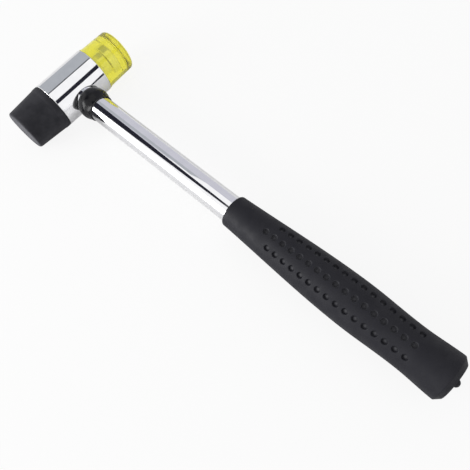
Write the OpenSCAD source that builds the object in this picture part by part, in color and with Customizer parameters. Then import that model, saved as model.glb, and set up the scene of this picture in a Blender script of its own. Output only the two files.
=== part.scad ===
// Soft face hammer, lying on its side: a short steel barrel with a black rubber face screwed into one
// end and a clear plastic face screwed into the other, on a steel tube with a moulded grip.
// X runs along the head towards the clear face, the handle runs towards -Y, and +Z is up.

/* [Head barrel] */
// Diameter of the plated barrel
barrel_d = 23.5; // [22:0.1:26]
// Length of the barrel between its two end faces
barrel_l = 28; // [27:0.5:36]
// Bevel round each end face of the barrel
barrel_bevel = 0.4; // [0.2:0.1:0.8]
// Wall left between the eye and the crown of the barrel
eye_wall = 4; // [3:0.5:6]

/* [Threaded studs] */
// Outside diameter of the stud's thread
thread_d = 8; // [6:1:8]
// Pitch of the stud's thread
thread_pitch = 1.25; // [1:0.05:1.3]
// Wall kept between the end of each tapped bore and the eye
bore_wall = 0.7; // [0.5:0.1:2]
// Diameter of the stud's round head, moulded into the face
stud_head_d = 10.4; // [10:0.2:14]
// Height of the stud's head
stud_head_h = 4.6; // [3:0.2:5]
// Length of shank between the barrel and the stud's head
stud_neck_l = 6.6; // [4:0.2:7]
// Bevel round the stud's head and its threaded end
stud_bevel = 0.7; // [0.4:0.1:1]

/* [Rubber face] */
// Length of the rubber face
rubber_l = 19; // [16:0.5:22]
// How far the rim stands out past the barrel
rim_lip = 0; // [0:0.05:1]
// Width of the rim
rim_w = 2.2; // [1.5:0.1:3]
// Length of the slope from the rim down to the body
rim_slope_l = 1.3; // [0.8:0.1:2]
// Step from the rim down to the body
rubber_step = 0.25; // [0.2:0.05:1]
// Taper of the body from the rim to the striking face
rubber_taper = 1; // [0:0.05:1.5]
// Rounding of the striking edge
rubber_round = 1.3; // [0.8:0.1:2]

/* [Clear face] */
// Length of the clear face
clear_l = 17; // [16:0.5:22]
// How far the flange lies inside the outline of the barrel
clear_inset = 0.25; // [0:0.05:0.6]
// Width of the flange
clear_flange_w = 1; // [0.6:0.1:1.5]
// Step from the flange down to the body
clear_step = 0.3; // [0.1:0.05:0.6]
// Taper of the body from the flange to the striking face
clear_taper = 0.35; // [0:0.05:1]
// Rounding of the striking edge
clear_round = 1.8; // [1:0.1:2.2]
// Distance of the ring groove from the striking face
clear_groove_from_end = 4.2; // [3:0.1:5]
// Width of the ring groove
clear_groove_w = 0.7; // [0.4:0.1:1]
// Depth of the ring groove
clear_groove_depth = 0.3; // [0.1:0.1:0.5]

/* [Handle tube] */
// Outside diameter of the plated tube
tube_d = 12.5; // [11:0.1:13]
// Wall of the tube
tube_wall = 1.2; // [0.8:0.1:2]

/* [Collar] */
// Length of the collar below the barrel
collar_l = 9.4; // [8:0.2:14]
// Wall where the collar meets the barrel
collar_seat_wall = 0.2; // [0.1:0.05:1]
// Wall at the collar's widest ring
collar_crest_wall = 1.75; // [1.4:0.05:2.6]
// Length of the rounded shoulder between the barrel and the widest ring
collar_shoulder_l = 4.6; // [3:0.1:6]
// Wall where the collar ends on the tube
collar_end_wall = 0.6; // [0.4:0.05:1]

/* [Grip] */
// Crown of the head to the tip of the butt's nub
overall_l = 232; // [215:1:260]
// Length of the grip without its nub
grip_l = 109; // [98:1:120]
// Wall of the grip's front rim
grip_front_wall = 1.2; // [1:0.05:2]
// Wall of the grip's belly
grip_belly_wall = 4.15; // [3:0.05:5.5]
// Wall of the waist behind the belly
grip_waist_wall = 3.25; // [2.4:0.05:4.2]
// Wall of the flare before the butt
grip_flare_wall = 3.85; // [2.8:0.05:4.6]
// Length of the bevel round the butt
butt_bevel = 2.2; // [1:0.2:4]
// Rounding of the front rim
grip_front_round = 0.9; // [0.4:0.1:1]
// Thickness of the grip's closed end
grip_end_wall = 5; // [4:0.5:10]
// Turn of the sleeve on the tube, in degrees
grip_turn = -6; // [-20:1:20]

/* [Grip dimples] */
// Distance of the first dimple from the grip's front rim
dimple_start = 20.2; // [16:0.2:24]
// Spacing of the dimples along a row
dimple_pitch = 4.4; // [4:0.1:4.5]
// Smooth length kept between the last dimple and the butt
dimple_end = 18.2; // [16:0.2:40]
// Diameter of a dimple
dimple_d = 2.5; // [2:0.1:3.2]
// Depth of a dimple
dimple_depth = 1; // [0.4:0.1:1.1]
// Angle between neighbouring rows, in degrees
dimple_row_angle = 35; // [32:1:40]

/* [Butt nub] */
// Height of the moulding nub on the butt
nub_h = 2.2; // [1:0.1:3]
// Diameter of the nub's round head
nub_head_d = 3.6; // [2:0.1:5]
// Diameter of the nub's neck
nub_neck_d = 2.8; // [1.6:0.1:4]

/* [Hidden] */
$fn = 96;

// Cuts run past the faces they open by this much
overrun = 1;
// Gap between a seated face and the barrel
seat_gap = 0.1;
// Radial clearance of a stud in the tapped bore
thread_fit = 0.05;
// Clearance round a stud inside its face
stud_fit = 0.05;
// Spare depth of the tapped bore past the stud
bore_spare = 0.75;
// Radial clearance of the tube in the eye, the collar and the grip
tube_fit = 0.02;
// Clearance between the collar and the barrel
collar_fit = 0.05;

barrel_r = barrel_d / 2;
rim_r = barrel_r + rim_lip;
rubber_body_r = rim_r - rubber_step;
rubber_end_r = rubber_body_r - rubber_taper;
clear_flange_r = barrel_r - clear_inset;
clear_body_r = clear_flange_r - clear_step;
clear_end_r = clear_body_r - clear_taper;
tube_r = tube_d / 2;
collar_seat_r = tube_r + collar_seat_wall;
collar_crest_r = tube_r + collar_crest_wall;
collar_end_r = tube_r + collar_end_wall;
grip_front_r = tube_r + grip_front_wall;
grip_belly_r = tube_r + grip_belly_wall;
grip_waist_r = tube_r + grip_waist_wall;
grip_flare_r = tube_r + grip_flare_wall;

// Whole turns of thread that fit between an end of the barrel and the eye
thread_turns = floor((barrel_l / 2 - tube_r - tube_fit - bore_wall - bore_spare) / thread_pitch);
thread_l = thread_pitch * thread_turns;
// Dimples in a middle row
dimple_count = 1 + floor((grip_l - dimple_start - dimple_end) / dimple_pitch);

eye_bottom = barrel_r - eye_wall;
butt = overall_l - rim_r - nub_h;
grip_front = butt - grip_l;
tube_end = butt - grip_end_wall;

// Middle of the whole part, seen from above, from the crossing of the head's and the handle's axes
middle_x = (clear_l - rubber_l) / 2;
middle_y = (rim_r - butt - nub_h) / 2;

// Steps in a quarter round and in one swell of the grip
round_steps = 8;
swell_steps = 12;

// Shares of the grip's length at which its belly and waist lie
belly_share = 0.58;
waist_share = 0.83;
// Slope of the grip's outline at its front rim
front_slope_share = 0.045;

// Quarter round of radius r about c, from angle a to angle a + 90
function quarter(c, r, a) = [for (i = [0 : round_steps])
    c + r * [cos(a + 90 * i / round_steps), sin(a + 90 * i / round_steps)]];

// Smooth step from 0 to 1 with level ends
function ease(s) = (1 - cos(180 * s)) / 2;

// Cubic from a, leaving at slope m, to b, arriving level
function swell(a, b, m, s) = (2 * pow(s, 3) - 3 * pow(s, 2) + 1) * a
    + (pow(s, 3) - 2 * pow(s, 2) + s) * m + (3 * pow(s, 2) - 2 * pow(s, 3)) * b;

belly_at = belly_share * grip_l;
waist_at = waist_share * grip_l;
flare_at = grip_l - butt_bevel;

// Radius of the grip at distance d behind its front rim
function grip_r(d) = d < belly_at
    ? swell(grip_front_r, grip_belly_r, front_slope_share * belly_at, d / belly_at)
    : d < waist_at
    ? grip_belly_r + (grip_waist_r - grip_belly_r) * ease((d - belly_at) / (waist_at - belly_at))
    : grip_waist_r + (grip_flare_r - grip_waist_r) * ease((d - waist_at) / (flare_at - waist_at));

// Points of the grip's outline from distance a to distance b
function grip_run(a, b) = [for (i = [1 : swell_steps])
    let (d = a + (b - a) * i / swell_steps) [grip_r(d), d]];

// Puts the crossing of the two axes above the middle of the part's footprint
module in_place() translate([-middle_x, -middle_y, rim_r]) children();

// Turns a shape drawn along +Z to run along the head, towards the clear or the rubber face
module to_clear() rotate([0, 90, 0]) children();
module to_rubber() rotate([0, -90, 0]) children();

// Turns a shape drawn along +Z to run down the handle, with +Y turned up
module down_handle() rotate([90, 0, 0]) children();

// Cylinder of radius r from height a to height b, with both ends bevelled
module bevelled(r, a, b, bevel) rotate_extrude()
    polygon([[0, a], [r - bevel, a], [r, a + bevel], [r, b - bevel], [r - bevel, b], [0, b]]);

// Stud drawn along +Z, with the end face of the barrel at zero and its thread below
module stud_form() {
    translate([0, 0, -thread_l])
        bevelled(thread_d / 2, 0, thread_l + stud_neck_l + stud_bevel, stud_bevel);
    bevelled(stud_head_d / 2, stud_neck_l, stud_neck_l + stud_head_h, stud_bevel);
}

// Space that a stud takes up inside its face
module stud_seat() {
    translate([0, 0, -overrun]) cylinder(r = thread_d / 2 + stud_fit, h = stud_neck_l + overrun);
    bevelled(stud_head_d / 2 + stud_fit, stud_neck_l - stud_fit, stud_neck_l + stud_head_h + stud_fit,
             stud_bevel);
}

// Tapped bore in one end of the barrel, drawn along +Z with the end face at zero
module tapped_bore() translate([0, 0, -thread_l - bore_spare])
    cylinder(r = thread_d / 2 + thread_fit, h = thread_l + bore_spare + overrun);

module head_barrel() color("gainsboro") in_place() difference() {
    to_clear() bevelled(barrel_r, -barrel_l / 2, barrel_l / 2, barrel_bevel);
    translate([barrel_l / 2, 0, 0]) to_clear() tapped_bore();
    translate([-barrel_l / 2, 0, 0]) to_rubber() tapped_bore();
    translate([0, eye_bottom, 0]) down_handle()
        cylinder(r = tube_r + tube_fit, h = eye_bottom + barrel_r + overrun);
}

module rubber_face() color("#2b2b2f") in_place() translate([-barrel_l / 2, 0, 0]) to_rubber()
    difference() {
        rotate_extrude() polygon(concat(
            [[0, seat_gap], [rim_r, seat_gap], [rim_r, rim_w],
             [rubber_body_r, rim_w + rim_slope_l]],
            quarter([rubber_end_r - rubber_round, rubber_l - rubber_round], rubber_round, 0),
            [[0, rubber_l]]));
        stud_seat();
    }

module rubber_face_stud() color("lightsteelblue") in_place() translate([-barrel_l / 2, 0, 0]) to_rubber()
    stud_form();

module clear_face() color("#e0d83a", 0.6) in_place() translate([barrel_l / 2, 0, 0]) to_clear()
    difference() {
        rotate_extrude() polygon(concat(
            [[0, seat_gap], [clear_flange_r, seat_gap], [clear_flange_r, clear_flange_w],
             [clear_body_r, clear_flange_w]],
            quarter([clear_end_r - clear_round, clear_l - clear_round], clear_round, 0),
            [[0, clear_l]]));
        clear_groove();
        stud_seat();
    }

// Ring groove turned round the clear face near its striking edge
module clear_groove() {
    groove_at = clear_l - clear_groove_from_end;
    run = (groove_at - clear_flange_w) / (clear_l - clear_round - clear_flange_w);
    groove_r = clear_body_r - clear_taper * run;
    rotate_extrude() polygon([
        [groove_r - clear_groove_depth, groove_at],
        [groove_r + overrun, groove_at - clear_groove_w / 2 * (1 + overrun / clear_groove_depth)],
        [groove_r + overrun, groove_at + clear_groove_w / 2 * (1 + overrun / clear_groove_depth)]]);
}

module clear_face_stud() color("lightsteelblue") in_place() translate([barrel_l / 2, 0, 0]) to_clear()
    stud_form();

module handle_tube() color("gainsboro") in_place() translate([0, eye_bottom, 0]) down_handle()
    difference() {
        cylinder(r = tube_r, h = eye_bottom + tube_end);
        translate([0, 0, -overrun])
            cylinder(r = tube_r - tube_wall, h = eye_bottom + tube_end + 2 * overrun);
    }

// Moulded bead whose rounded shoulder meets the barrel and whose taper runs out on the tube
module head_collar() color("#18181b") in_place() down_handle() {
    seat_at = barrel_r + collar_fit;
    crest_at = barrel_r + collar_shoulder_l;
    end_at = barrel_r + collar_l;
    rotate_extrude() polygon(concat(
        [[tube_r + tube_fit, seat_at]],
        [for (i = [0 : round_steps]) let (a = 90 * i / round_steps)
            [collar_seat_r + (collar_crest_r - collar_seat_r) * sin(a),
             crest_at - (crest_at - seat_at) * cos(a)]],
        [for (i = [1 : round_steps]) let (s = i / round_steps)
            [collar_crest_r - (collar_crest_r - collar_end_r) * ease(s),
             crest_at + (end_at - crest_at) * s]],
        [[tube_r + tube_fit, end_at]]));
}

// Round nub that the moulding leaves on the butt, drawn from zero
module nub() rotate_extrude() polygon(concat(
    [[0, -overrun], [nub_neck_d / 2, -overrun], [nub_neck_d / 2, nub_h - nub_head_d / 2]],
    quarter([0, nub_h - nub_head_d / 2], nub_head_d / 2, 0)));

// One row of round, flat-floored dimples facing local +Y, from station a to station b
module dimple_row(a, b) for (i = [a : b]) {
    d = dimple_start + i * dimple_pitch;
    translate([0, grip_r(d) - dimple_depth, d]) rotate([-90, 0, 0])
        cylinder(d = dimple_d, h = dimple_depth + overrun);
}

// Three rows on each broad side, the middle one starting a station nearer the head
module dimples() for (side = [0, 180], row = [-1, 0, 1])
    rotate([0, 0, side - row * dimple_row_angle]) dimple_row(abs(row), dimple_count - 1);

module grip() color("#26262a") in_place() translate([0, -grip_front, 0]) down_handle()
    rotate([0, 0, -grip_turn]) difference() {
        union() {
            rotate_extrude() polygon(concat(
                [[0, 0]],
                quarter([grip_front_r - grip_front_round, grip_front_round], grip_front_round, -90),
                grip_run(grip_front_round, belly_at), grip_run(belly_at, waist_at),
                grip_run(waist_at, flare_at),
                [[grip_flare_r - butt_bevel, grip_l], [0, grip_l]]));
            translate([0, 0, grip_l]) nub();
        }
        translate([0, 0, -overrun])
            cylinder(r = tube_r + tube_fit, h = grip_l - grip_end_wall + overrun);
        dimples();
    }

head_barrel();
rubber_face();
rubber_face_stud();
clear_face();
clear_face_stud();
handle_tube();
head_collar();
grip();
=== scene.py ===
import bpy
import numpy as np
from mathutils import Matrix, Vector


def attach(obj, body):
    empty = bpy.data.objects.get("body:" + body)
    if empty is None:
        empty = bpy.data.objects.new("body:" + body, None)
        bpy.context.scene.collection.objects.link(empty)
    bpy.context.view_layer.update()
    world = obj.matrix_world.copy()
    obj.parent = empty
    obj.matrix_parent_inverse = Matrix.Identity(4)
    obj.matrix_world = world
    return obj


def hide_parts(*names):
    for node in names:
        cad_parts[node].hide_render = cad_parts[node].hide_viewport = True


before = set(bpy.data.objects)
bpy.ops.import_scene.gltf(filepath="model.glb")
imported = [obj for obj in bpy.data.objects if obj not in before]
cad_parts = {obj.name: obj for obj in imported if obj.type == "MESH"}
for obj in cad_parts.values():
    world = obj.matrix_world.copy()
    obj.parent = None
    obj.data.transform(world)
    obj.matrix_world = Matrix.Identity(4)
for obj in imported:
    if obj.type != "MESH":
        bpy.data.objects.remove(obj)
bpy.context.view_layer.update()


# Head barrel: a short length of steel bar, turned, bevelled at both ends and bright plated.
# Each end is drilled and tapped for the stud of a face; the handle tube is driven into an eye in its side.
# Here and below, the sizes of pieces are in millimetres and skin() makes metres of them.
mm = 0.001
crossing = np.array([1.0, 104.25, 11.75])  # where the head's axis meets the handle's
upward, clearward = np.array([0.0, 0.0, 1.0]), np.array([1.0, 0.0, 0.0])
barrel_r, barrel_half, barrel_edge = 11.75, 14.0, 0.35
bore_r, bore_depth, bore_mouth = 4.05, 7.0, 0.55
thread_pitch, thread_row, tapped_depth = 1.25, 0.1, 0.42


def rounded_outline(corners, steps=7, lead=0.06):
    """Outline through corners (distance, radius, fillet). An inner corner becomes the arc of its fillet that touches
    both sides, with one more point a short lead outside each end of the arc, so that smooth shading keeps flats
    flat."""
    corners = np.array(corners, float)
    out = [corners[:1, :2]]
    for before, here, after in zip(corners[:-2], corners[1:-1], corners[2:]):
        back, ahead = before[:2] - here[:2], after[:2] - here[:2]
        back, ahead = back / np.linalg.norm(back), ahead / np.linalg.norm(ahead)
        half = np.arccos(np.clip(back @ ahead, -1, 1)) / 2
        centre = here[:2] + (back + ahead) / np.linalg.norm(back + ahead) * here[2] / np.sin(half)
        start, end = here[:2] + back * here[2] / np.tan(half), here[:2] + ahead * here[2] / np.tan(half)
        sweep, t = np.pi - 2 * half, np.linspace(0, 1, steps + 1)[:, None]
        arc = centre + (np.sin((1 - t) * sweep) * (start - centre) + np.sin(t * sweep) * (end - centre)) / np.sin(sweep)
        out += [[start + back * lead], arc, [end + ahead * lead]]
    return np.vstack(out + [corners[-1:, :2]])


def even_turn(columns):
    """Equal angles round an axis, counted from the top of the piece."""
    return np.linspace(0, 2 * np.pi, columns, endpoint=False)


def turned(distance, radius, axis, turn):
    """Points of a turned piece: the crossing, plus the distance along the axis, plus the radius times the upward
    direction turned about the axis. Distance and radius have one number to a row, or one to each row and column."""
    ring = np.cos(turn)[:, None] * upward + np.sin(turn)[:, None] * np.cross(axis, upward)
    distance, radius = (np.reshape(a, (len(a), -1))[..., None] for a in (distance, radius))
    return crossing + distance * axis + radius * ring


def skin(name, points, loop=False):
    """Closed mesh over a grid of points whose columns go round. A row that lies on the axis becomes one pole with a fan
    of triangles, loop joins the last row to the first, and a negative signed volume turns all the faces round."""
    rows, columns = points.shape[:2]
    pole = np.ptp(points, axis=1).max(1) < 1e-6
    index = np.arange(rows * columns).reshape(rows, columns)
    index[pole] = index[pole][:, :1]
    index = np.vstack([index, index[:1]]) if loop else index
    quads = np.stack([index[:-1], np.roll(index[:-1], -1, 1), np.roll(index[1:], -1, 1), index[1:]], -1).reshape(-1, 4)
    opens, ends = quads[:, 0] == quads[:, 1], quads[:, 2] == quads[:, 3]
    whole, fans = quads[~opens & ~ends], np.vstack([quads[opens][:, [0, 2, 3]], quads[ends][:, :3]])
    place = points.reshape(-1, 3) * mm
    corner = np.vstack([whole[:, [0, 1, 2]], whole[:, [0, 2, 3]], fans])
    if np.einsum("ij,ij", place[corner[:, 0]], np.cross(place[corner[:, 1]], place[corner[:, 2]])) < 0:
        whole, fans = whole[:, ::-1], fans[:, ::-1]
    kept, renamed = np.unique(np.concatenate([whole.ravel(), fans.ravel()]), return_inverse=True)
    whole, fans = renamed[:whole.size].reshape(-1, 4), renamed[whole.size:].reshape(-1, 3)
    mesh = bpy.data.meshes.new(name)
    mesh.from_pydata(place[kept].tolist(), [], whole.tolist() + fans.tolist())
    mesh.shade_smooth()
    piece = bpy.data.objects.new(name, mesh)
    bpy.context.scene.collection.objects.link(piece)
    return piece


def dress(piece, body, node, material):
    """Gives the finished piece its material and puts it in place of its CAD node, on that node's body."""
    piece.data.materials.append(material)
    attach(piece, body)
    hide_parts(node)


def thread_wave(distance, turn):
    """Right-hand V thread as a number from 0 to 1: how far a point is from the nearest crest, in half pitches, where
    the crest climbs one pitch to a turn."""
    return np.abs(2 * ((distance[:, None] / thread_pitch - turn / (2 * np.pi)) % 1) - 1)


def finish_nodes(name):
    """New material with its node tree, its Principled shader and the object's own coordinates."""
    material = bpy.data.materials.new(name)
    material.use_nodes = True
    tree = material.node_tree
    return material, tree, tree.nodes["Principled BSDF"], tree.nodes.new("ShaderNodeTexCoord").outputs["Object"]


def stretched(tree, coords, scale):
    """Coordinates scaled apart along X, Y and Z, so that a pattern runs out along one of them."""
    mapping = tree.nodes.new("ShaderNodeMapping")
    mapping.inputs["Scale"].default_value = scale
    tree.links.new(coords, mapping.inputs["Vector"])
    return mapping.outputs["Vector"]


def spread(tree, value, from_min, from_max, to_min, to_max):
    """Value carried from one range to another, and held at its ends."""
    node = tree.nodes.new("ShaderNodeMapRange")
    for socket, number in zip(("From Min", "From Max", "To Min", "To Max"), (from_min, from_max, to_min, to_max)):
        node.inputs[socket].default_value = number
    tree.links.new(value, node.inputs["Value"])
    return node.outputs["Result"]


def cloudy(tree, coords, scale, detail, low=0, high=1):
    """Noise over the coordinates, its middle range spread between a low and a high value."""
    noise = tree.nodes.new("ShaderNodeTexNoise")
    noise.inputs["Scale"].default_value = scale
    noise.inputs["Detail"].default_value = detail
    tree.links.new(coords, noise.inputs["Vector"])
    middle_low, middle_high = 0.35, 0.65
    return spread(tree, noise.outputs["Fac"], middle_low, middle_high, low, high)


def tinted(tree, amount, first, second):
    """Colour that goes from the first to the second as the amount goes from 0 to 1."""
    ramp = tree.nodes.new("ShaderNodeValToRGB")
    for element, colour in zip(ramp.color_ramp.elements, (first, second)):
        element.color = (*colour, 1)
    tree.links.new(amount, ramp.inputs["Fac"])
    return ramp.outputs["Color"]


def raised(tree, shader, height, strength, distance):
    """Bump of the shader's surface by a height."""
    bump = tree.nodes.new("ShaderNodeBump")
    bump.inputs["Strength"].default_value = strength
    bump.inputs["Distance"].default_value = distance
    tree.links.new(height, bump.inputs["Height"])
    tree.links.new(bump.outputs["Normal"], shader.inputs["Normal"])


def bright_plating(name, along):
    """Plating over polished steel: a mirror with fine polishing lines along the piece and a faint uneven haze."""
    material, tree, shader, coords = finish_nodes(name)
    shader.inputs["Metallic"].default_value = 1.0
    haze = cloudy(tree, coords, scale=240, detail=3)
    tree.links.new(tinted(tree, haze, (0.93, 0.93, 0.945), (0.89, 0.89, 0.91)), shader.inputs["Base Color"])
    lines = stretched(tree, coords, along)
    tree.links.new(cloudy(tree, lines, scale=5200, detail=2, low=0.035, high=0.075), shader.inputs["Roughness"])
    raised(tree, shader, cloudy(tree, lines, scale=2600, detail=2), strength=0.02, distance=0.00002)
    return material


wall = np.arange(barrel_half - bore_depth, barrel_half - bore_mouth, thread_row)
bore_bottom = [[wall[0], 0.0], [wall[0], bore_r - thread_row]]
bore = np.vstack([bore_bottom, np.column_stack([wall, np.full_like(wall, bore_r)])])
shell = rounded_outline([(barrel_half, bore_r + bore_mouth, 0), (barrel_half, barrel_r, barrel_edge),
                         (-barrel_half, barrel_r, barrel_edge), (-barrel_half, bore_r + bore_mouth, 0)])
outline = np.vstack([bore, shell, bore[::-1] * [-1, 1]])
tapped = np.clip((barrel_half - np.abs(outline[:, :1])) / thread_pitch, 0, 1) * (outline[:, 1:] == bore_r)
turn = even_turn(144)
cut = tapped_depth * tapped * thread_wave(outline[:, 0], turn)
barrel = skin("plated_barrel", turned(outline[:, 0], outline[:, 1:] + cut, clearward, turn))
dress(barrel, "handle", "head_barrel", bright_plating("barrel_plating", (0.05, 1, 1)))


# Handle tube: drawn steel tube, polished and bright plated like the barrel.
# Its head end is driven into the barrel's eye, and the other end stops at the closed end of the grip.
buttward = np.array([0.0, -1.0, 0.0])
tube_r, tube_wall, tube_edge = 6.25, 1.2, 0.2
tube_start, tube_end = -7.75, 213.05
outline_start, outline_end = 60, 59  # the outline runs round the wall and closes on the outside
outline = rounded_outline([(outline_start, tube_r, 0),
                           (tube_end, tube_r, tube_edge), (tube_end, tube_r - tube_wall, tube_edge),
                           (tube_start, tube_r - tube_wall, tube_edge), (tube_start, tube_r, tube_edge),
                           (outline_end, tube_r, 0)])
tube = skin("plated_tube", turned(outline[:, 0], outline[:, 1], buttward, even_turn(128)), loop=True)
dress(tube, "handle", "handle_tube", bright_plating("tube_plating", (1, 0.05, 1)))


# Head collar: glossy black plastic bead, moulded round and bored to the tube.
# It is pushed up the tube against the barrel to cover the eye, and tapers away towards the grip.
collar_seat, collar_crest, collar_end = barrel_r + 0.05, barrel_r + 4.6, barrel_r + 9.4
seat_r, crest_r, collar_end_r, collar_edge = 6.45, 8.0, 6.85, 0.12
taper_rows, bore_row = 28, 1
quarter = np.linspace(0, np.pi / 2, 16)
shoulder = np.column_stack([collar_crest - (collar_crest - collar_seat) * np.cos(quarter),
                            seat_r + (crest_r - seat_r) * np.sin(quarter)])
fall = (1 - np.cos(np.linspace(0, np.pi, taper_rows))) / 2
taper = np.column_stack([np.linspace(collar_crest, collar_end, taper_rows), crest_r - (crest_r - collar_end_r) * fall])
run_out = rounded_outline([(*taper[-2], 0), (*taper[-1], collar_edge), (collar_end, tube_r, 0)], steps=6, lead=0.03)
outline = np.vstack([[[collar_seat, tube_r]], shoulder, taper[1:-2], run_out, [[collar_end - bore_row, tube_r]]])
collar = skin("head_collar_moulding", turned(outline[:, 0], outline[:, 1], buttward, even_turn(160)), loop=True)


def gloss_moulding(name):
    """Glossy black plastic: nearly black, smooth, with a faint mould grain and slightly duller patches."""
    material, tree, shader, coords = finish_nodes(name)
    patches = cloudy(tree, coords, scale=300, detail=4)
    tree.links.new(tinted(tree, patches, (0.007, 0.007, 0.009), (0.012, 0.012, 0.014)), shader.inputs["Base Color"])
    shader.inputs["Specular IOR Level"].default_value = 0.22
    tree.links.new(cloudy(tree, coords, scale=700, detail=3, low=0.16, high=0.26), shader.inputs["Roughness"])
    raised(tree, shader, cloudy(tree, coords, scale=1800, detail=3), strength=0.05, distance=0.00005)
    return material


dress(collar, "handle", "head_collar", gloss_moulding("collar_gloss_black"))


# Grip: one soft black plastic moulding, pushed over the tube and a few degrees turned on it.
# Rows of round dimples run along its two broad sides; the butt is closed and bevelled, and carries the nub of the gate.
grip_front, grip_l, grip_end_wall, sleeve_fit = 109.05, 109.0, 5, 0.02
front_r, belly_r, waist_r, flare_r, rim_slope = 7.45, 10.4, 9.5, 10.1, 0.045
belly_at, waist_at, flare_at = 63.22, 90.47, 106.8
outside_r = tube_r + 0.5  # between the radius of the sleeve's bore and its outside
nub_r, nub_neck_r, nub_at, butt_bevel = 1.8, 1.4, grip_l + 0.4, 2.2
dimple_first, dimple_pitch, dimple_last = 20.2, 4.4, 16
dimple_r, dimple_depth, dimple_wall_reach, dimple_wall = 1.25, 1.0, 0.12, 0.36
# Sizes of the light painted in the dimples: a painted highlight on each floor, and painted light over the wall's shade
# in the middle row.
pit_light_r, pit_light_fade, pit_light_foot, pit_light_top = 0.8, 0.5, 0.6, 1.45
row_step, row_half = 35, 9.5  # degrees between two rows, and from the middle of a row to where the grid gets coarse
row_angle, sleeve_turn = np.radians(row_step), np.radians(6)


def grip_outline(d):
    """Radius of the grip behind its front rim: a cubic that leaves the rim at a slope and reaches the belly level, then
    half cosine waves from the belly to the waist and from the waist to the flare."""
    s = np.clip(d / belly_at, 0, 1)
    rise = ((2 * s ** 3 - 3 * s ** 2 + 1) * front_r + (s ** 3 - 2 * s ** 2 + s) * rim_slope * belly_at
            + (3 * s ** 2 - 2 * s ** 3) * belly_r)
    to_waist, to_flare = ((1 - np.cos(np.pi * np.clip((d - a) / (b - a), 0, 1))) / 2
                          for a, b in ((belly_at, waist_at), (waist_at, flare_at)))
    return rise + (waist_r - belly_r) * to_waist + (flare_r - waist_r) * to_flare


def nearest_row(turn):
    """Angle from the middle of the nearer broad side, and the nearest row of dimples there: -1, 0 or 1."""
    off_side = (turn - sleeve_turn + np.pi / 2) % np.pi - np.pi / 2
    return off_side, np.clip(np.round(off_side / row_angle), -1, 1)


def off_dimple(d, radius, turn):
    """Lengths along the grip and round it from the middle of the nearest dimple. The rows are a fixed angle apart on
    each broad side, and the outer rows start one station later."""
    off_side, row = nearest_row(turn)
    station = np.clip(np.round((d - dimple_first) / dimple_pitch), np.abs(row), dimple_last)
    return d - dimple_first - station * dimple_pitch, radius * (off_side - row * row_angle)


def dimple_cut(d, radius, turn):
    """Depth that the dimples take from the grip: a flat floor, less the fall of the round grip across the row, that
    climbs to the surface over a narrow ring as a smooth step."""
    along, across = off_dimple(d, radius, turn)
    inside = np.clip((dimple_r + dimple_wall_reach - np.hypot(along, across)) / dimple_wall, 0, 1)
    return (dimple_depth - across ** 2 / (2 * waist_r)) * inside ** 2 * (3 - 2 * inside)


dense_half, gap_rows = 1.48, [1.97, 2.45]  # rows of the grid close together over a dimple, and two up to the next
station_rows = np.concatenate([np.linspace(-dense_half, dense_half, 19), gap_rows])
row_columns = np.radians(np.linspace(-row_half, row_half, 23))
between = np.radians(np.linspace(row_half, row_step - row_half, 8))[1:-1]
beyond = np.radians(np.linspace(row_step + row_half, 180 - row_step - row_half, 23))[1:-1]
side = np.concatenate([row_columns - row_angle, between - row_angle, row_columns, between,
                       row_columns + row_angle, beyond])
turn = np.concatenate([side, side + np.pi]) + sleeve_turn
rim_back, plain_row, dimples_from, dimples_to = 0.95, 0.6, 18.4, 93.5
run = np.concatenate([np.arange(rim_back, dimples_from, plain_row),
                      np.add.outer(dimple_first + dimple_pitch * np.arange(dimple_last + 1), station_rows).ravel(),
                      np.arange(dimples_to, flare_at - plain_row, plain_row)])
front = rounded_outline([(grip_l - grip_end_wall, 0, 0), (grip_l - grip_end_wall, tube_r + sleeve_fit, 0.3),
                         (0, tube_r + sleeve_fit, 0.1), (0, front_r, 0.8), (run[0], grip_outline(run[0]), 0)], steps=6)
butt = rounded_outline([(flare_at - plain_row, grip_outline(flare_at - plain_row), 0), (flare_at, flare_r, 0.8),
                        (grip_l, flare_r - butt_bevel, 0.3), (grip_l, nub_neck_r, 0.12), (nub_at, nub_neck_r, 0.05),
                        (nub_at, nub_r - 0.05, 0)], steps=6)
dome = np.linspace(0.06, np.pi / 2, 12)
nub = np.column_stack([nub_at + nub_r * np.sin(dome), nub_r * np.cos(dome)])
nub[-1, 1] = 0
outline = np.vstack([front[:-1], np.column_stack([run, grip_outline(run)]), butt, nub])
d, radius = outline[:, :1], outline[:, 1:]
cut = dimple_cut(d, radius, turn) * ((d >= run[0]) & (d < flare_at - 1) & (radius > outside_r))
grip = skin("grip_moulding", turned(grip_front + outline[:, 0], radius - cut, buttward, turn))


def mark_pit_light(piece):
    """Point attribute for the light painted in the dimples: a painted highlight that is 1 in the middle of a floor,
    falling to 0 before the wall. In the middle row, which faces up, the floor has a little less, and the wall has half
    as painted light over its shade."""
    place = np.empty(3 * len(piece.data.vertices), np.float32)
    piece.data.vertices.foreach_get("co", place)
    x, y, z = (place.reshape(-1, 3) / mm - crossing).T
    radius = np.hypot(x, z)
    turn = np.arctan2(-x, z)
    away = np.hypot(*off_dimple(-y - grip_front, radius, turn))
    middle = nearest_row(turn)[1] == 0
    on_floor = np.clip((pit_light_r - away) / pit_light_fade, 0, 1)
    on_wall = np.clip((away - pit_light_foot) / 0.3, 0, 1) * np.clip((pit_light_top - away) / 0.1, 0, 1)
    # Painted highlight on the floors; in the middle row, painted light over the shade of the walls as well.
    pit_light = np.where(middle, 0.8 * on_floor + 0.5 * on_wall, on_floor) * (radius > outside_r)
    piece.data.attributes.new("pit_light", "FLOAT", "POINT").data.foreach_set("value", pit_light.astype(np.float32))


def blended(tree, amount, gain, base):
    """Amount times gain plus base."""
    node = tree.nodes.new("ShaderNodeMath")
    node.operation = "MULTIPLY_ADD"
    for socket, value in zip(node.inputs, (amount, gain, base)):
        tree.links.new(value, socket)
    return node.outputs["Value"]


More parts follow.
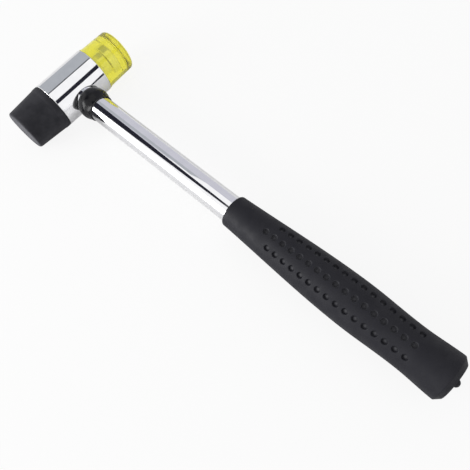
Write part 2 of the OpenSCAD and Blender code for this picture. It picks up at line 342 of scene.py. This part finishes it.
def matte_moulding(name):
    """Soft matte plastic: near black with a cool cast, a fine spark-eroded grain, and light painted in the dimples."""
    material, tree, shader, coords = finish_nodes(name)
    pit_light = tree.nodes.new("ShaderNodeAttribute")
    pit_light.attribute_name = "pit_light"
    # The base colour is paler where light is painted in the dimples, added to the grain's own random tone.
    pale = blended(tree, pit_light.outputs["Fac"], cloudy(tree, coords, scale=500, detail=3, low=0.6),
                   cloudy(tree, coords, scale=120, detail=5, high=0.08))
    tree.links.new(tinted(tree, pale, (0.008, 0.008, 0.013), (0.060, 0.060, 0.068)), shader.inputs["Base Color"])
    shader.inputs["Specular IOR Level"].default_value = 0.3
    tree.links.new(cloudy(tree, coords, scale=260, detail=4, low=0.56, high=0.68), shader.inputs["Roughness"])
    raised(tree, shader, cloudy(tree, coords, scale=2600, detail=4), strength=0.10, distance=0.00012)
    return material


mark_pit_light(grip)
dress(grip, "handle", "grip", matte_moulding("grip_matte_black"))


# Rubber face: black rubber, moulded round the head of its stud, with a rim that closes on the barrel's end.
# Its side narrows a little towards the striking end, whose colour is paler.
rubberward = -clearward
shank_r, stud_head_r, head_start, head_end = 4.0, 5.2, 20.6, 25.2  # the stud, as the face is moulded round it
stud_fit = 0.05
rubber_seat, rubber_end, strike_r = 14.1, 33.0, 10.41
rim_r, rim_end, side_start, side_r = 11.75, 16.2, 17.5, 11.5
outline = rounded_outline([(head_end + stud_fit, 0, 0), (head_end + stud_fit, stud_head_r + stud_fit, 0.7),
                           (head_start - stud_fit, stud_head_r + stud_fit, 0.7),
                           (head_start - stud_fit, shank_r + stud_fit, 0.1),
                           (rubber_seat, shank_r + stud_fit, 0.3), (rubber_seat, rim_r, 0.25), (rim_end, rim_r, 0.5),
                           (side_start, side_r, 0.6), (rubber_end, strike_r, 1.3), (rubber_end, 0, 0)], steps=9)
rubber = skin("rubber_face_moulding", turned(outline[:, 0], outline[:, 1], rubberward, even_turn(160)))


def along_head(tree, coords):
    """The coordinate along the head's axis."""
    place = tree.nodes.new("ShaderNodeSeparateXYZ")
    tree.links.new(coords, place.inputs["Vector"])
    return place.outputs["X"]


def soft_rubber(name):
    """Moulded rubber: dull black with a cool cast and a fine grain, paler where the face strikes."""
    material, tree, shader, coords = finish_nodes(name)
    strike = (crossing[0] - rubber_end) * mm
    # The base colour turns paler over the last 0.6 mm before the striking end, with a cloudy spread.
    toward_strike = spread(tree, along_head(tree, coords), strike + 0.05 * mm, strike + 0.6 * mm, 0.8, 0)
    strike_paleness = blended(tree, toward_strike, cloudy(tree, coords, scale=420, detail=5, low=0.5),
                    cloudy(tree, coords, scale=160, detail=4, high=0.15))
    tree.links.new(tinted(tree, strike_paleness, (0.018, 0.018, 0.023), (0.130, 0.130, 0.146)), shader.inputs["Base Color"])
    shader.inputs["Specular IOR Level"].default_value = 0.25
    tree.links.new(cloudy(tree, coords, scale=300, detail=4, low=0.62, high=0.74), shader.inputs["Roughness"])
    raised(tree, shader, cloudy(tree, coords, scale=2200, detail=4), strength=0.12, distance=0.00012)
    return material


dress(rubber, "rubber_cap", "rubber_face", soft_rubber("soft_black_rubber"))


# Rubber face stud: turned steel with a thin zinc coat, a round head and a shank with an M8 thread.
# The head is moulded into the face, and the shank screws into the barrel until the face's rim closes on the end.
stud_end, stud_tip, stud_tip_r, thread_depth = 7.75, 0.7, shank_r - 0.75, 0.66


def stud_outline():
    """Stud from its threaded end to the back of its head: distance, radius, and how much of the row is thread."""
    rows = np.arange(stud_end + stud_tip, barrel_half - thread_row, thread_row)
    end = rounded_outline([(stud_end, 0, 0), (stud_end, stud_tip_r, 0.1), (rows[0], shank_r, 0)])
    head = rounded_outline([(barrel_half, shank_r, 0), (head_start, shank_r, 0.15), (head_start, stud_head_r, 0.6),
                            (head_end, stud_head_r, 0.7), (head_end, 0, 0)])
    shape = np.vstack([end[:-1], np.column_stack([rows, np.full_like(rows, shank_r)]), head])
    threaded = (shape[:, 0] >= rows[0]) * np.clip((barrel_half - shape[:, 0]) / thread_pitch, 0, 1)
    return shape[:, 0], shape[:, 1], threaded


def turned_steel(name):
    """Turned steel with a thin zinc coat: grey, half bright, with fine rings from the tool across the head."""
    material, tree, shader, coords = finish_nodes(name)
    shader.inputs["Metallic"].default_value = 1.0
    zinc = cloudy(tree, coords, scale=500, detail=4)
    tree.links.new(tinted(tree, zinc, (0.86, 0.86, 0.86), (0.93, 0.93, 0.92)), shader.inputs["Base Color"])
    rings = stretched(tree, coords, (1, 0.08, 0.08))
    tree.links.new(cloudy(tree, rings, scale=4000, detail=2, low=0.14, high=0.24), shader.inputs["Roughness"])
    raised(tree, shader, cloudy(tree, rings, scale=5000, detail=2), strength=0.06, distance=0.00003)
    return material


distance, radius, threaded = stud_outline()
turn = even_turn(96)
radius = radius[:, None] - thread_depth * threaded[:, None] * thread_wave(distance, turn)
stud_steel = turned_steel("turned_stud_steel")
rubber_stud = skin("rubber_face_threaded_stud", turned(distance, radius, rubberward, turn))
dress(rubber_stud, "rubber_stud", "rubber_face_stud", stud_steel)


# Clear face: tinted clear plastic, moulded round the head of its stud and turned true.
# A thin flange meets the barrel, and a fine groove rings the face near its rounded striking edge.
clear_seat, clear_end, clear_r, clear_strike_r, clear_edge = 14.1, 31.0, 11.2, 10.82, 1.8
flange_r, flange_end, flange_foot = 11.5, 15.0, 15.05
groove_at, groove_half, groove_r = 26.8, 0.35, 10.62
outline = rounded_outline([(clear_seat, 0, 0), (clear_seat, flange_r, 0.2), (flange_end, flange_r, 0.25),
                           (flange_foot, clear_r, 0.08), (groove_at - groove_half, 10.92, 0.1),
                           (groove_at, groove_r, 0.1), (groove_at + groove_half, 10.91, 0.1),
                           (clear_end, clear_strike_r, clear_edge), (clear_end, 0, 0)], steps=9, lead=0.03)
clear = skin("clear_face_moulding", turned(outline[:, 0], outline[:, 1], clearward, even_turn(160)))


def clear_tinted(name):
    """Clear plastic, tinted yellow through its depth and slightly milky, with faint flow marks, a frosted groove and a
    scuffed striking face."""
    material, tree, shader, coords = finish_nodes(name)
    shader.inputs["Transmission Weight"].default_value = 0.86
    shader.inputs["IOR"].default_value = 1.49
    flow = stretched(tree, coords, (1, 0.35, 0.35))
    marks = cloudy(tree, flow, scale=260, detail=3)
    tree.links.new(tinted(tree, marks, (1.0, 0.985, 0.34), (0.97, 0.94, 0.24)), shader.inputs["Base Color"])
    along = along_head(tree, coords)
    strike = (crossing[0] + clear_end) * mm
    scuffed = blended(tree, spread(tree, along, strike - 0.8 * mm, strike - 0.1 * mm, 0, 1),
                      cloudy(tree, coords, scale=900, detail=5, low=0.05, high=0.22),
                      cloudy(tree, coords, scale=300, detail=3, low=0.03, high=0.07))
    in_groove = tree.nodes.new("ShaderNodeMath")
    in_groove.operation = "COMPARE"
    tree.links.new(along, in_groove.inputs[0])
    in_groove.inputs[1].default_value = (crossing[0] + groove_at) * mm
    in_groove.inputs[2].default_value = 1.2 * groove_half * mm
    frosted = blended(tree, in_groove.outputs["Value"],
                      cloudy(tree, coords, scale=900, detail=3, low=0.4, high=0.55), scuffed)
    tree.links.new(frosted, shader.inputs["Roughness"])
    raised(tree, shader, cloudy(tree, flow, scale=320, detail=2), strength=0.10, distance=0.00025)
    depth = tree.nodes.new("ShaderNodeVolumeAbsorption")
    depth.inputs["Color"].default_value = (0.955, 0.93, 0.06, 1)
    depth.inputs["Density"].default_value = 90.0
    tree.links.new(depth.outputs["Volume"], tree.nodes["Material Output"].inputs["Volume"])
    return material


dress(clear, "clear_cap", "clear_face", clear_tinted("clear_yellow_plastic"))


# Clear face stud: the same turned steel stud as the other one, turned end for end.
# Its head is moulded into the clear face, where it shows, and its thread screws into the barrel.
clear_stud = skin("clear_face_threaded_stud", turned(distance, radius, clearward, turn))
dress(clear_stud, "clear_stud", "clear_face_stud", stud_steel)


# Studio: a pale floor that keeps the shadow, a white surround, a soft lamp low on the left, and the cards that the
# plating mirrors: grey and lilac panels over the right and the back, and black cards for the dark lines.
# Sizes are in metres.
grey, lilac = (0.44, 0.46, 0.49), (0.60, 0.60, 0.66)
dark, black = (0.05, 0.053, 0.06), (0.02, 0.02, 0.03)
ceiling, back_wall, side_wall = 0.31, 0.5, 0.5


def card(name, corners, colour, in_clear=True):
    """Flat card over four corners, seen in mirrors and, where asked, through clear plastic, but neither by the camera
    nor by the soft light."""
    mesh = bpy.data.meshes.new(name)
    mesh.from_pydata(corners, [], [(0, 1, 2, 3)])
    material = bpy.data.materials.new(name)
    material.use_nodes = True
    tree = material.node_tree
    tree.nodes.remove(tree.nodes["Principled BSDF"])
    glow = tree.nodes.new("ShaderNodeEmission")
    glow.inputs["Color"].default_value = (*colour, 1)
    tree.links.new(glow.outputs["Emission"], tree.nodes["Material Output"].inputs["Surface"])
    mesh.materials.append(material)
    piece = bpy.data.objects.new(name, mesh)
    bpy.context.scene.collection.objects.link(piece)
    piece.visible_camera = piece.visible_diffuse = piece.visible_shadow = False
    piece.visible_transmission = in_clear


def level(left, right, near, far):
    """Corners of an oblong at the height of the ceiling."""
    return [(left, near, ceiling), (right, near, ceiling), (right, far, ceiling), (left, far, ceiling)]


def upright(start, end, low):
    """Corners of an upright oblong over a line from start to end, from a low height to the ceiling."""
    return [(*start, low), (*end, low), (*end, ceiling), (*start, ceiling)]


def facing(azimuth, elevation, away=0.8):
    """Point at a direction from the middle of the head, in degrees from +X towards +Y and up from the floor."""
    a, e = np.radians(azimuth), np.radians(elevation)
    return tuple(crossing * mm + away * np.array([np.cos(e) * np.cos(a), np.cos(e) * np.sin(a), np.sin(e)]))


card("grey_ceiling", level(0.035, 0.16, 0.172, back_wall), grey)
card("grey_edge", level(0.0295, 0.035, 0.174, 0.2), grey)
card("grey_back", upright((0.035, back_wall), (0.16, back_wall), 0.02), grey)
card("lilac_ceiling", level(0.16, side_wall, 0.05, back_wall), lilac)
card("lilac_wedge", [(0.035, 0.2, ceiling), (0.035, 0.372, ceiling), (-0.0066, 0.24, ceiling), (0.01, 0.205, ceiling)],
     lilac)
card("lilac_back", upright((0.16, back_wall), (side_wall, back_wall), 0), lilac)
card("lilac_side", upright((side_wall, -0.1), (side_wall, back_wall), 0), lilac)
card("black_flag", [(-0.27, 0.416, 0.312), (0.035, 0.372, 0.312), (-0.046, 0.115, 0.312), (-0.126, 0.124, 0.312)],
     black, in_clear=False)
# The dark bar slants so that the barrel mirrors it as a line and the tube sees it on edge.
card("dark_bar", [(0.019, 0.139, 0.2264), (0.078, 0.139, 0.2264), (0.1, 0.1776, 0.2955), (0.028, 0.1776, 0.2955)],
     dark, in_clear=False)
card("black_strip", [facing(-30, 32), facing(-112, 32), facing(-112, 48), facing(-30, 48)], black, in_clear=False)
card("black_ledge", [facing(-79, -0.5), facing(-88, -0.5), facing(-88, 2), facing(-79, 2)], black, in_clear=False)
card("black_ledge_end", [facing(-73, -0.5), facing(-79, -0.5), facing(-79, 2), facing(-73, 12)], black, in_clear=False)

floor_half, floor_drop = 3, -0.0001
floor_mesh = bpy.data.meshes.new("floor")
floor_mesh.from_pydata([(-floor_half, -floor_half, floor_drop), (floor_half, -floor_half, floor_drop),
                        (floor_half, floor_half, floor_drop), (-floor_half, floor_half, floor_drop)],
                       [], [(0, 1, 2, 3)])
floor = bpy.data.objects.new("floor", floor_mesh)
bpy.context.scene.collection.objects.link(floor)


def seen_directly(tree, mirrored):
    """1 for a ray straight from the camera or through clear plastic, a set share for a mirrored one, 0 for soft
    light."""
    path = tree.nodes.new("ShaderNodeLightPath")
    total = spread(tree, path.outputs["Is Glossy Ray"], 0, 1, 0, mirrored)
    for name in ("Is Camera Ray", "Is Transmission Ray"):
        either = tree.nodes.new("ShaderNodeMath")
        either.operation = "MAXIMUM"
        tree.links.new(total, either.inputs[0])
        tree.links.new(path.outputs[name], either.inputs[1])
        total = either.outputs["Value"]
    return total


floor_paint = bpy.data.materials.new("pale_floor")
floor_paint.use_nodes = True
tree = floor_paint.node_tree
shader = tree.nodes["Principled BSDF"]
shader.inputs["Base Color"].default_value = (0.92, 0.92, 0.92, 1)
shader.inputs["Roughness"].default_value = 0.9
white = tree.nodes.new("ShaderNodeEmission")
either = tree.nodes.new("ShaderNodeMixShader")
white_share = spread(tree, seen_directly(tree, mirrored=0.15), 0, 1, 0, 0.88)
tree.links.new(white_share, either.inputs["Fac"])
tree.links.new(shader.outputs["BSDF"], either.inputs[1])
tree.links.new(white.outputs["Emission"], either.inputs[2])
tree.links.new(either.outputs["Shader"], tree.nodes["Material Output"].inputs["Surface"])
floor_mesh.materials.append(floor_paint)

world = bpy.data.worlds.new("white_surround")
bpy.context.scene.world = world
world.use_nodes = True
tree = world.node_tree
surround = tree.nodes["Background"]
surround.inputs["Color"].default_value = (1, 1, 1, 1)
strength = spread(tree, seen_directly(tree, mirrored=1), 0, 1, 0.6, 1)
tree.links.new(strength, surround.inputs["Strength"])


def lamp(name, place, aim, size, power):
    """Square soft lamp at a place, turned to an aim, and not itself seen through clear plastic."""
    light = bpy.data.lights.new(name, "AREA")
    light.shape, light.size, light.energy = "SQUARE", size, power
    piece = bpy.data.objects.new(name, light)
    piece.location = place
    piece.rotation_euler = (Vector(aim) - Vector(place)).to_track_quat("-Z", "Y").to_euler()
    piece.visible_transmission = False
    bpy.context.scene.collection.objects.link(piece)


lamp("soft_lamp", place=(-0.66, 0.42, 0.22), aim=(0, 0, 0), size=0.5, power=5.0)


# Camera: a short lens close over the handle, with the head away from it and the butt near it, as in the photograph.
camera = bpy.data.objects.new("camera", bpy.data.cameras.new("camera"))
camera.data.sensor_width, camera.data.lens = 36.0, 39.87
camera.data.clip_start = 0.005
ahead, over = Vector((0.2228, 0.3402, -0.9136)).normalized(), Vector((0.7110, 0.5844, 0.3911))
right = ahead.cross(over).normalized()
aimed = Matrix((right, right.cross(ahead), -ahead)).transposed().to_4x4()
camera.matrix_world = Matrix.Translation((-0.05623, -0.08831, 0.21364)) @ aimed
bpy.context.scene.collection.objects.link(camera)
bpy.context.scene.camera = camera
bpy.context.scene.view_settings.view_transform = "Standard"
